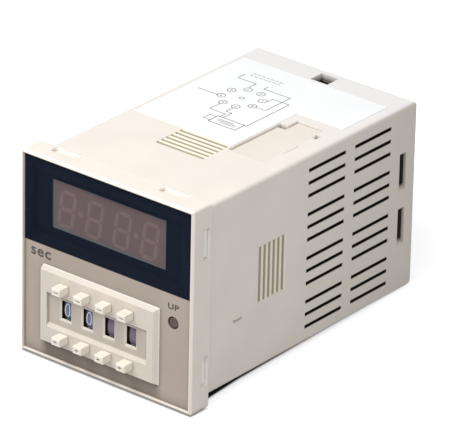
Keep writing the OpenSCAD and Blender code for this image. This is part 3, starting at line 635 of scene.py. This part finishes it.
def tint_teeth(material):
    """Each grip tooth runs from a painted shade on one flank to a painted highlight on the other."""
    tree = material.node_tree
    y = axes(tree)[1]
    across = math_node(tree, "MINIMUM", *off_middle(tree))
    in_teeth = product(tree, within(tree, y, TEETH_Y, TEETH_HALF), below(tree, across, TEETH_W / 2))
    teeth_on = math_node(tree, "DIVIDE", difference(tree, y, TEETH_START), TEETH_PITCH)
    light_from, light_full = 0.62, 0.72
    light = rising(tree, math_node(tree, "FRACT", teeth_on), light_from, light_full)
    tint(material, in_teeth, mixed(tree, light, TOOTH_SHADE, TOOTH_HIGHLIGHT))


def darken_cuts(material):
    """Painted shade on the walls of cuts grows with their depth, fast in the side vents and slowly
    elsewhere.

    The teeth, the corners and the rear end keep their colour.
    """
    tree = material.node_tree
    y = axes(tree)[1]
    side, top = off_middle(tree)
    depth = sunk(tree, CASE_HALF)
    fast_from, fast_full = 0.03 * MM, 0.22 * MM
    slow_from, slow_full = 0.3 * MM, 1.8 * MM
    corner_w, end_w = 1.0 * MM, 1.7 * MM
    in_vents = product(tree, above(tree, side, top), within(tree, y, VENTS_Y, VENTS_HALF))
    fast = product(tree, rising(tree, depth, fast_from, fast_full), in_vents)
    share = largest(tree, rising(tree, depth, slow_from, slow_full), fast)
    off_teeth = difference(tree, 1, within(tree, y, TEETH_Y, TEETH_HALF))
    off_corner = below(tree, math_node(tree, "MINIMUM", side, top), CASE_HALF - corner_w)
    off_end = below(tree, y, CASE_END - end_w)
    tint(material, product(tree, share, off_teeth, off_corner, off_end), PAINTED_DEEP_SHADE)


def case_plastic():
    """Ivory moulding of the case, with painted light and shade on its ends, side mark, teeth and
    cuts.
    """
    material = moulded("case_plastic", IVORY, bevel=0.2)
    tint_case_ends(material)
    tint_side_mark(material)
    tint_teeth(material)
    darken_cuts(material)
    return material


def base_plastic():
    """Ivory moulding of the rear base, with painted shade on its tongues and its inner face."""
    material = moulded("base_plastic", IVORY, gloss=0.1)
    tree = material.node_tree
    edge_y, soft = CASE_END - 1.9 * MM, 0.2 * MM
    tint(material, rising(tree, axes(tree)[1], edge_y, edge_y - soft), PAINTED_DEEP_SHADE)
    return material


def bezel_plastic():
    """Ivory moulding of the bezel, with painted highlights along its rear edge, in its rim and in its
    windows.
    """
    material = moulded("bezel_plastic", IVORY, bevel=0.2)
    tree = material.node_tree
    y = axes(tree)[1]
    rear_from, rear_full, rim_soft = -0.45 * MM, -0.3 * MM, 0.2 * MM
    tint(material, rising(tree, y, rear_from, rear_full), PAINTED_HIGHLIGHT, strength=0.4)
    tint(material, rising(tree, y, PANEL_Y, PANEL_Y - rim_soft), RIM_HIGHLIGHT)
    on_wall = product(tree, within(tree, y, LATCH_WALL_Y, LATCH_WALL_HALF),
                      within(tree, sunk(tree, BEZEL_HIGH.x), WINDOW_DEPTH, WINDOW_HALF))
    tint(material, on_wall, WALL_HIGHLIGHT)
    return material


def housing_plastic():
    """Cream moulding: painted edge highlights, and painted shade in corners, in its recess and behind
    the panel's plane.
    """
    material = moulded("housing_plastic", FRAME_IVORY)
    pale_edges(material, reach=0.25, strength=1.6)
    shade_corners(material, reach=1.0, strength=0.5)
    tree = material.node_tree
    y = axes(tree)[1]
    on_floor = product(tree, below(tree, outside(tree, RECESS_LOW, RECESS_HIGH), 0),
                       within(tree, y, RECESS_Y, RECESS_Y_HALF))
    tint(material, on_floor, PAINTED_SHADE, strength=0.28)
    dark_from, dark_full = PANEL_Y - 0.12 * MM, PANEL_Y + 0.05 * MM
    tint(material, rising(tree, y, dark_from, dark_full), PAINTED_DEEP_SHADE)
    return material


def cover_plastic():
    """Ivory moulding of the top cover, a little deeper than the case."""
    return moulded("cover_plastic", COVER_IVORY)


def drum_plastic(wheel, colour):
    """Coloured band between a wheel's near-black ends, which are painted shade beside the windows."""
    name = "wheel_plastic_%d" % wheel
    material = moulded(name, colour, roughness=0.45, grain=0.006, bevel=0.06)
    tree = material.node_tree
    low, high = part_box("digit_wheel_%d" % wheel)
    band_x, band_half, soft = (low.x + high.x) / 2 + 0.1 * MM, 1.0 * MM, 0.01 * MM
    off = distance(tree, axes(tree)[0], band_x)
    tint(material, rising(tree, off, band_half - soft, band_half + soft), PAINTED_DEEP_SHADE)
    return material


def node_materials():
    """Materials of the nodes that have one of their own."""
    made = {"main_case": case_plastic(), "rear_base": base_plastic(), "top_cover": cover_plastic(),
            "switch_housing": housing_plastic(), "front_bezel": bezel_plastic()}
    for wheel, colour in zip(COLUMNS, (BAND_BLUE, BAND_BLUE, BAND_PURPLE, BAND_PURPLE)):
        made["digit_wheel_%d" % wheel] = drum_plastic(wheel, colour)
    return made


# Materials of the slots, each named as its slot

def ivory_plastic():
    """Plain ivory moulding of the key post."""
    return moulded("ivory_plastic", IVORY)


def button_plastic():
    """Cream buttons."""
    return moulded("button_plastic", (0.90, 0.84, 0.73), roughness=0.42, grain=0.008, bevel=0.1)


def black_moulding():
    """Black moulded chip and header."""
    return moulded("black_moulding", (0.02, 0.02, 0.022), roughness=0.45, grain=0.01, bevel=0.06)


def taupe_panel():
    """Taupe sheet with painted shade in corners, and painted shadow under the switch's frame and a
    little over and right of it.
    """
    colour = (0.455, 0.385, 0.33)
    material = moulded("taupe_panel", colour, roughness=0.55, grain=0.008, bevel=0.05)
    shade_corners(material, reach=3.5, strength=1.1)
    shade_corners(material, reach=1.0, strength=0.6)
    tree = material.node_tree
    low, high = SWITCH_LOW, SWITCH_HIGH
    middle_x, half_x = (low.x + high.x) / 2, (high.x - low.x) / 2
    middle_z, half_z = (low.z + high.z) / 2, (high.z - low.z) / 2
    x, _, z = axes(tree)
    soft, edge_in, edge_out, side_in = 1.0 * MM, 0.2 * MM, 0.4 * MM, 0.5 * MM
    across = rising(tree, distance(tree, x, middle_x), half_x + soft, half_x - soft)

    # The painted shadow under the frame: its share, and what it gains near the frame and towards the
    # left
    strip_share, near_gain, left_gain = 0.42, 0.12, 0.2
    near_reach, left_from, left_full = 5.5 * MM, 16 * MM, 4 * MM
    under = rising(tree, z, low.z + edge_in, low.z - edge_out)
    near = rising(tree, z, low.z - near_reach, low.z - edge_out)
    left = rising(tree, x, low.x + left_from, low.x + left_full)
    share = between(tree, left, strip_share, strip_share + left_gain)
    share = math_node(tree, "MULTIPLY_ADD", near, near_gain, share)
    tint(material, product(tree, across, under, share), PAINTED_SHADE)

    # The fainter painted shadows over the frame and right of it
    over_share, beside_share = 0.09, 0.25
    over = rising(tree, z, high.z - edge_out, high.z + edge_in)
    beside = product(tree, rising(tree, x, high.x + soft, high.x + edge_in),
                     above(tree, x, high.x - side_in), within(tree, z, middle_z, half_z))
    tint(material, largest(tree, product(tree, across, over, over_share),
                           product(tree, beside, beside_share)), PAINTED_SHADE)
    return material


def smoked_filter():
    """Smoked clear sheet, opaque along its edges.

    Its colour rises where it is half clear, so that sheet and film together look even.
    """
    colour = (0.0124, 0.0174, 0.0292)
    material = new_material("smoked_filter", colour, roughness=0.2, Specular_IOR_Level=0.0)
    material.surface_render_method = "BLENDED"
    even = add_mottle(material, colour, spread=0.04, scale=60)
    tree = material.node_tree
    past_clear = outside(tree, *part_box("display_filter"), -FILTER_CLEAR)
    edge = rising(tree, past_clear, 0, FILTER_EDGE)
    cover = between(tree, edge, FILTER_ALPHA, 1)
    tree.links.new(cover, principled(material).inputs["Alpha"])
    passed = difference(tree, 1, cover)

    # How much light comes back from the film, and how much the sheet's own two faces give back
    film = product(tree, math_node(tree, "POWER", passed, FILM_POWER), FILM_SHARE)
    own = product(tree, cover, math_node(tree, "MULTIPLY_ADD", passed, passed, 1))
    scaled = tree.nodes.new("ShaderNodeVectorMath")
    scaled.operation = "SCALE"
    tree.links.new(even, scaled.inputs[0])
    gain = math_node(tree, "DIVIDE", difference(tree, 1, film), own)
    tree.links.new(gain, scaled.inputs["Scale"])
    tree.links.new(scaled.outputs[0], principled(material).inputs["Base Color"])
    return material


def black_film():
    """Matt dark blue film round the display window."""
    colour = (0.0255, 0.0366, 0.0605)
    material = new_material("black_film", colour, roughness=0.8, Specular_IOR_Level=0.0)
    add_mottle(material, colour, spread=0.02, scale=60)
    return material


def display_face():
    """Pinkish grey face with a greyer line along its edge."""
    pink, grey = (0.545, 0.385, 0.365), (0.50, 0.54, 0.55)
    material = moulded("display_face", pink, roughness=0.6, grain=0.006, bevel=0.03)
    tree = material.node_tree
    line_w, soft = 1.05 * MM, 0.1 * MM
    edge = rising(tree, outside(tree, *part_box("display_body"), -line_w), 0, soft)
    tint(material, edge, grey)
    return material


def unlit_segment():
    """Milky pink filling of the segments."""
    return moulded("unlit_segment", (0.695, 0.495, 0.465), grain=0.003, bevel=0.03)


def lamp_resin():
    """Dark red resin of the unlit lamp."""
    return moulded("lamp_resin", (0.082, 0.048, 0.04), roughness=0.35, grain=0.002, bevel=0.05)


def label_paper():
    """Smooth white label."""
    colour = (0.90, 0.90, 0.90)
    return moulded("label_paper", colour, roughness=0.35, grain=0.003, bevel=0.03, spread=0.01)


def circuit_board():
    """Green solder mask with fine copper tracks under it."""
    mask, track = (0.035, 0.16, 0.05), (0.06, 0.25, 0.08)
    material = new_material("circuit_board", mask, roughness=0.35)
    tree = material.node_tree
    place = tree.nodes.new("ShaderNodeTexCoord")
    bricks = tree.nodes.new("ShaderNodeTexBrick")
    bricks.inputs["Scale"].default_value = 180
    bricks.inputs["Mortar Size"].default_value = 0.035
    bricks.inputs["Color1"].default_value = (*mask, 1)
    bricks.inputs["Color2"].default_value = (*mask, 1)
    bricks.inputs["Mortar"].default_value = (*track, 1)
    tree.links.new(place.outputs["Object"], bricks.inputs["Vector"])
    tree.links.new(bricks.outputs["Color"], principled(material).inputs["Base Color"])
    add_grain(material, scale=5000, depth=0.01)
    return material


def core_steel():
    """Core steel with the edges of its sheets showing as fine lines across X."""
    material = new_material("core_steel", (0.10, 0.10, 0.095), roughness=0.45, Metallic=0.6)
    add_grain(material, scale=40, depth=0.05, bevel=0.1, stretch=(60, 0.2, 0.2))
    return material


def copper_winding():
    """Enamelled wire: turns that run round the coil, stacked along Z."""
    material = new_material("copper_winding", (0.42, 0.17, 0.05), roughness=0.35, Metallic=0.7)
    tree = material.node_tree
    place = tree.nodes.new("ShaderNodeTexCoord")
    wave = tree.nodes.new("ShaderNodeTexWave")
    wave.bands_direction = "Z"
    wave.inputs["Scale"].default_value = 900
    tree.links.new(place.outputs["Object"], wave.inputs["Vector"])
    bump = tree.nodes.new("ShaderNodeBump")
    bump.inputs["Distance"].default_value = 0.05 * MM
    tree.links.new(wave.outputs["Fac"], bump.inputs["Height"])
    tree.links.new(bump.outputs["Normal"], principled(material).inputs["Normal"])
    return material


def bare_steel():
    """Drawn steel of the springs and the wheels' axle."""
    return metal("bare_steel", (0.55, 0.55, 0.53), roughness=0.3, stretch=(40, 1, 1))


def can_metal():
    """Bright can of the crystal."""
    return metal("can_metal", (0.62, 0.62, 0.6), roughness=0.28, stretch=(1, 1, 30))


def pin_metal():
    """Plated plug pins."""
    return metal("pin_metal", (0.66, 0.62, 0.52), roughness=0.25, stretch=(1, 30, 1))


def relay_cover():
    """Milky cover of the relay."""
    return moulded("relay_cover", (0.75, 0.72, 0.66), roughness=0.4, grain=0.006, bevel=0.1)


def capacitor_sleeve():
    """Dark blue shrunk sleeve."""
    return moulded("capacitor_sleeve", (0.02, 0.028, 0.06), roughness=0.3, grain=0.003, bevel=0.1)


def film_resin():
    """Ochre dipped resin of the film capacitor."""
    return moulded("film_resin", (0.45, 0.30, 0.05), roughness=0.25, grain=0.01, bevel=0.3)


def slot_materials():
    """The material of each slot that a node takes its look from."""
    makers = (ivory_plastic, button_plastic, black_moulding, taupe_panel, smoked_filter, black_film,
              display_face, unlit_segment, lamp_resin, label_paper, circuit_board, core_steel,
              copper_winding, bare_steel, can_metal, pin_metal, relay_cover, capacitor_sleeve,
              film_resin)
    return {make.__name__: make() for make in makers}


def dress_nodes(by_slot, by_node):
    """Gives every CAD node its own material or that of its slot."""
    for part in frame["record"]["subparts"]:
        name = part["node"]
        materials = nodes[name].data.materials
        materials.clear()
        materials.append(by_node.get(name) or by_slot[part["material_slot"]])


# Printed legends

def text_mesh(words, height, width=None, weight=0.0, spacing=1.0):
    """Flat letters as a mesh in X and Y, centred, of the given height and width in millimetres."""
    curve = bpy.data.curves.new("letters", "FONT")
    curve.body = words
    curve.align_x = "CENTER"
    curve.space_character = spacing
    curve.offset = weight
    curve.resolution_u = 3
    curve.fill_mode = "FRONT"
    letters = add_object("letters", curve)
    bpy.context.view_layer.update()
    evaluated = letters.evaluated_get(bpy.context.evaluated_depsgraph_get())
    mesh = bpy.data.meshes.new_from_object(evaluated)
    bpy.data.objects.remove(letters)
    low = Vector((min(v.co.x for v in mesh.vertices), min(v.co.y for v in mesh.vertices)))
    high = Vector((max(v.co.x for v in mesh.vertices), max(v.co.y for v in mesh.vertices)))
    tall = height * MM / (high.y - low.y)
    wide = width * MM / (high.x - low.x) if width else tall
    for v in mesh.vertices:
        v.co = Vector(((v.co.x - (low.x + high.x) / 2) * wide,
                       (v.co.y - (low.y + high.y) / 2) * tall, 0))
    return mesh


def add_legends():
    """Legends on the front panel, turned to face the front."""
    ink = moulded("legend_ink", (0.07, 0.062, 0.055), grain=0.002, bevel=0.0)
    for name, words, x, z, height, width, weight in LEGENDS:
        mesh = text_mesh(words, height, width, weight, spacing=1.1)
        place = Matrix.Translation((x * MM, PANEL_Y - INK, z * MM))
        mesh.transform(place @ Matrix.Rotation(math.pi / 2, 4, "X"))
        add_piece(name, mesh, ink)


# Digits of the setting wheels

def cut_across(mesh, height, strip):
    """Cuts flat letters into narrow strips, so that they bend smoothly."""
    made = bmesh.new()
    made.from_mesh(mesh)
    y = -height / 2 + strip
    while y < height / 2:
        everything = made.verts[:] + made.edges[:] + made.faces[:]
        bmesh.ops.bisect_plane(made, geom=everything, plane_co=(0, y * MM, 0), plane_no=(0, 1, 0))
        y += strip
    made.to_mesh(mesh)
    made.free()


def wrap_on_drum(mesh, angle, centre):
    """Bends flat letters round a drum whose axis runs along X, at an angle from its front."""
    for v in mesh.vertices:
        turn = angle + v.co.y / DRUM_R
        r = DRUM_R + INK
        v.co = centre + Vector((v.co.x, -r * math.cos(turn), r * math.sin(turn)))


def add_wheel_digits():
    """Digits round each wheel. The two left wheels show 0, the others show a blank step."""
    white = moulded("digit_ink", (0.80, 0.82, 0.92), roughness=0.45, grain=0.003, bevel=0.0)
    for wheel in COLUMNS:
        low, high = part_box("digit_wheel_%d" % wheel)
        centre = (low + high) / 2 - Vector((DIGIT_LEFT, 0, 0))
        made = bmesh.new()
        for digit in range(DIGITS):
            if digit == 0 and wheel in BLANK_WHEELS:
                continue
            letters = text_mesh(str(digit), DIGIT_H, DIGIT_W, DIGIT_WEIGHT)
            cut_across(letters, DIGIT_H, DIGIT_STRIP)
            wrap_on_drum(letters, 2 * math.pi * digit / DIGITS + DIGIT_TURN, centre)
            made.from_mesh(letters)
            bpy.data.meshes.remove(letters)
        name = "wheel_digits_%d" % wheel
        add_piece(name, finished(made, name), white, "wheel_body_%d" % wheel)


# Wiring diagram on the label

def line_strip(made, points, width, closed=False):
    """Flat line of the given width through points in X and Y, in millimetres."""
    count = len(points)
    for i in range(count if closed else count - 1):
        a, b = Vector(points[i]), Vector(points[(i + 1) % count])
        along = (b - a).normalized() * width / 2
        side = Vector((-along.y, along.x))
        corners = [a - along - side, b + along - side, b + along + side, a - along + side]
        made.faces.new([made.verts.new((c.x * MM, c.y * MM, 0)) for c in corners])


def ring_strip(made, centre, radius, width, count=24):
    """Flat ring in X and Y, in millimetres."""
    angles = [2 * math.pi * i / count for i in range(count)]
    inner, outer = ([made.verts.new(((centre[0] + r * math.cos(a)) * MM,
                                     (centre[1] + r * math.sin(a)) * MM, 0)) for a in angles]
                    for r in (radius - width / 2, radius + width / 2))
    for i in range(count):
        j = (i + 1) % count
        made.faces.new([inner[i], outer[i], outer[j], inner[j]])


def add_label_pin(made, number, x, y):
    """Ring of one pin with its number, to be read from the rear."""
    ring_strip(made, (x, y), PIN_R, LINE_W)
    digit = text_mesh(str(number), PIN_DIGIT_H, weight=PIN_DIGIT_WEIGHT)
    digit.transform(Matrix.Translation((x * MM, y * MM, 0)) @ Matrix.Rotation(math.pi, 4, "Z"))
    made.from_mesh(digit)
    bpy.data.meshes.remove(digit)


def add_label_print():
    """Plain wiring diagram of an eight-pin socket, to be read from the rear of the case."""
    ink = moulded("label_ink", (0.10, 0.10, 0.12), grain=0.001, bevel=0.0)
    made = bmesh.new()
    for i in range(PINS):
        turn = 2 * math.pi * (i + 0.5) / PINS
        add_label_pin(made, i + 1, RING_X + RING_R * math.cos(turn), RING_Y + RING_R * math.sin(turn))
    ring_strip(made, (RING_X, RING_Y), POST_R, LINE_W)
    line_strip(made, SUPPLY_BOX, BOX_LINE_W, closed=True)
    for points in SUPPLY_LINES + CONTACT_LINES:
        line_strip(made, points, LINE_W)
    for row in range(DASH_ROWS):
        for dash in range(DASHES):
            x, y = DASH_X + DASH_PITCH * dash, DASH_Y + DASH_ROW_PITCH * row
            line_strip(made, ((x, y), (x + DASH_L, y)), LINE_W)
    mesh = finished(made, "label_print")
    mesh.transform(Matrix.Translation((0, 0, LABEL_Z + INK)))
    add_piece("label_print", mesh, ink)


# Signs on the buttons

def sign_bars(sign):
    """Half width and half height of a sign's bars: one bar, or two that cross."""
    if sign == "minus":
        return [(MINUS_HALF, STROKE_HALF)]
    return [(PLUS_HALF, STROKE_HALF), (STROKE_HALF, PLUS_HALF)]


def add_button_signs():
    """Dark paint in the cut signs: a bar on each upper button, a cross on each lower one."""
    paint = moulded("sign_paint", (0.20, 0.17, 0.14), roughness=0.6, grain=0.002, bevel=0.0)
    for sign in SIGNS:
        for i in COLUMNS:
            low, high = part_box("%s_button_%d" % (sign, i))
            x, y, z = (low.x + high.x) / 2, low.y + SIGN_DEPTH, SIGN_Z[sign]
            made = bmesh.new()
            for wide, tall in sign_bars(sign):
                corners = ((-wide, -tall), (wide, -tall), (wide, tall), (-wide, tall))
                made.faces.new([made.verts.new((x + a, y, z + b)) for a, b in corners])
            name = "%s_paint_%d" % (sign, i)
            add_piece(name, finished(made, name), paint, "%s_body_%d" % (sign, i))


# Springs behind the buttons

def add_springs(steel):
    """Coils behind the buttons, copied from the spring nodes and carried by the case."""
    for sign in SIGNS:
        for i in COLUMNS:
            node = nodes["%s_spring_%d" % (sign, i)]
            mesh = node.data.copy()
            mesh.materials.clear()
            coil = add_piece("%s_coil_%d" % (sign, i), mesh, steel)
            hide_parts(node.name)
            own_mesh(coil)


bpy.context.scene.view_settings.view_transform = "Standard"
add_camera()
add_world()
add_floor()
for lamp in LAMPS:
    add_lamp(*lamp)
slot_looks = slot_materials()
dress_nodes(slot_looks, node_materials())
add_legends()
add_wheel_digits()
add_label_print()
add_button_signs()
add_springs(slot_looks["bare_steel"])
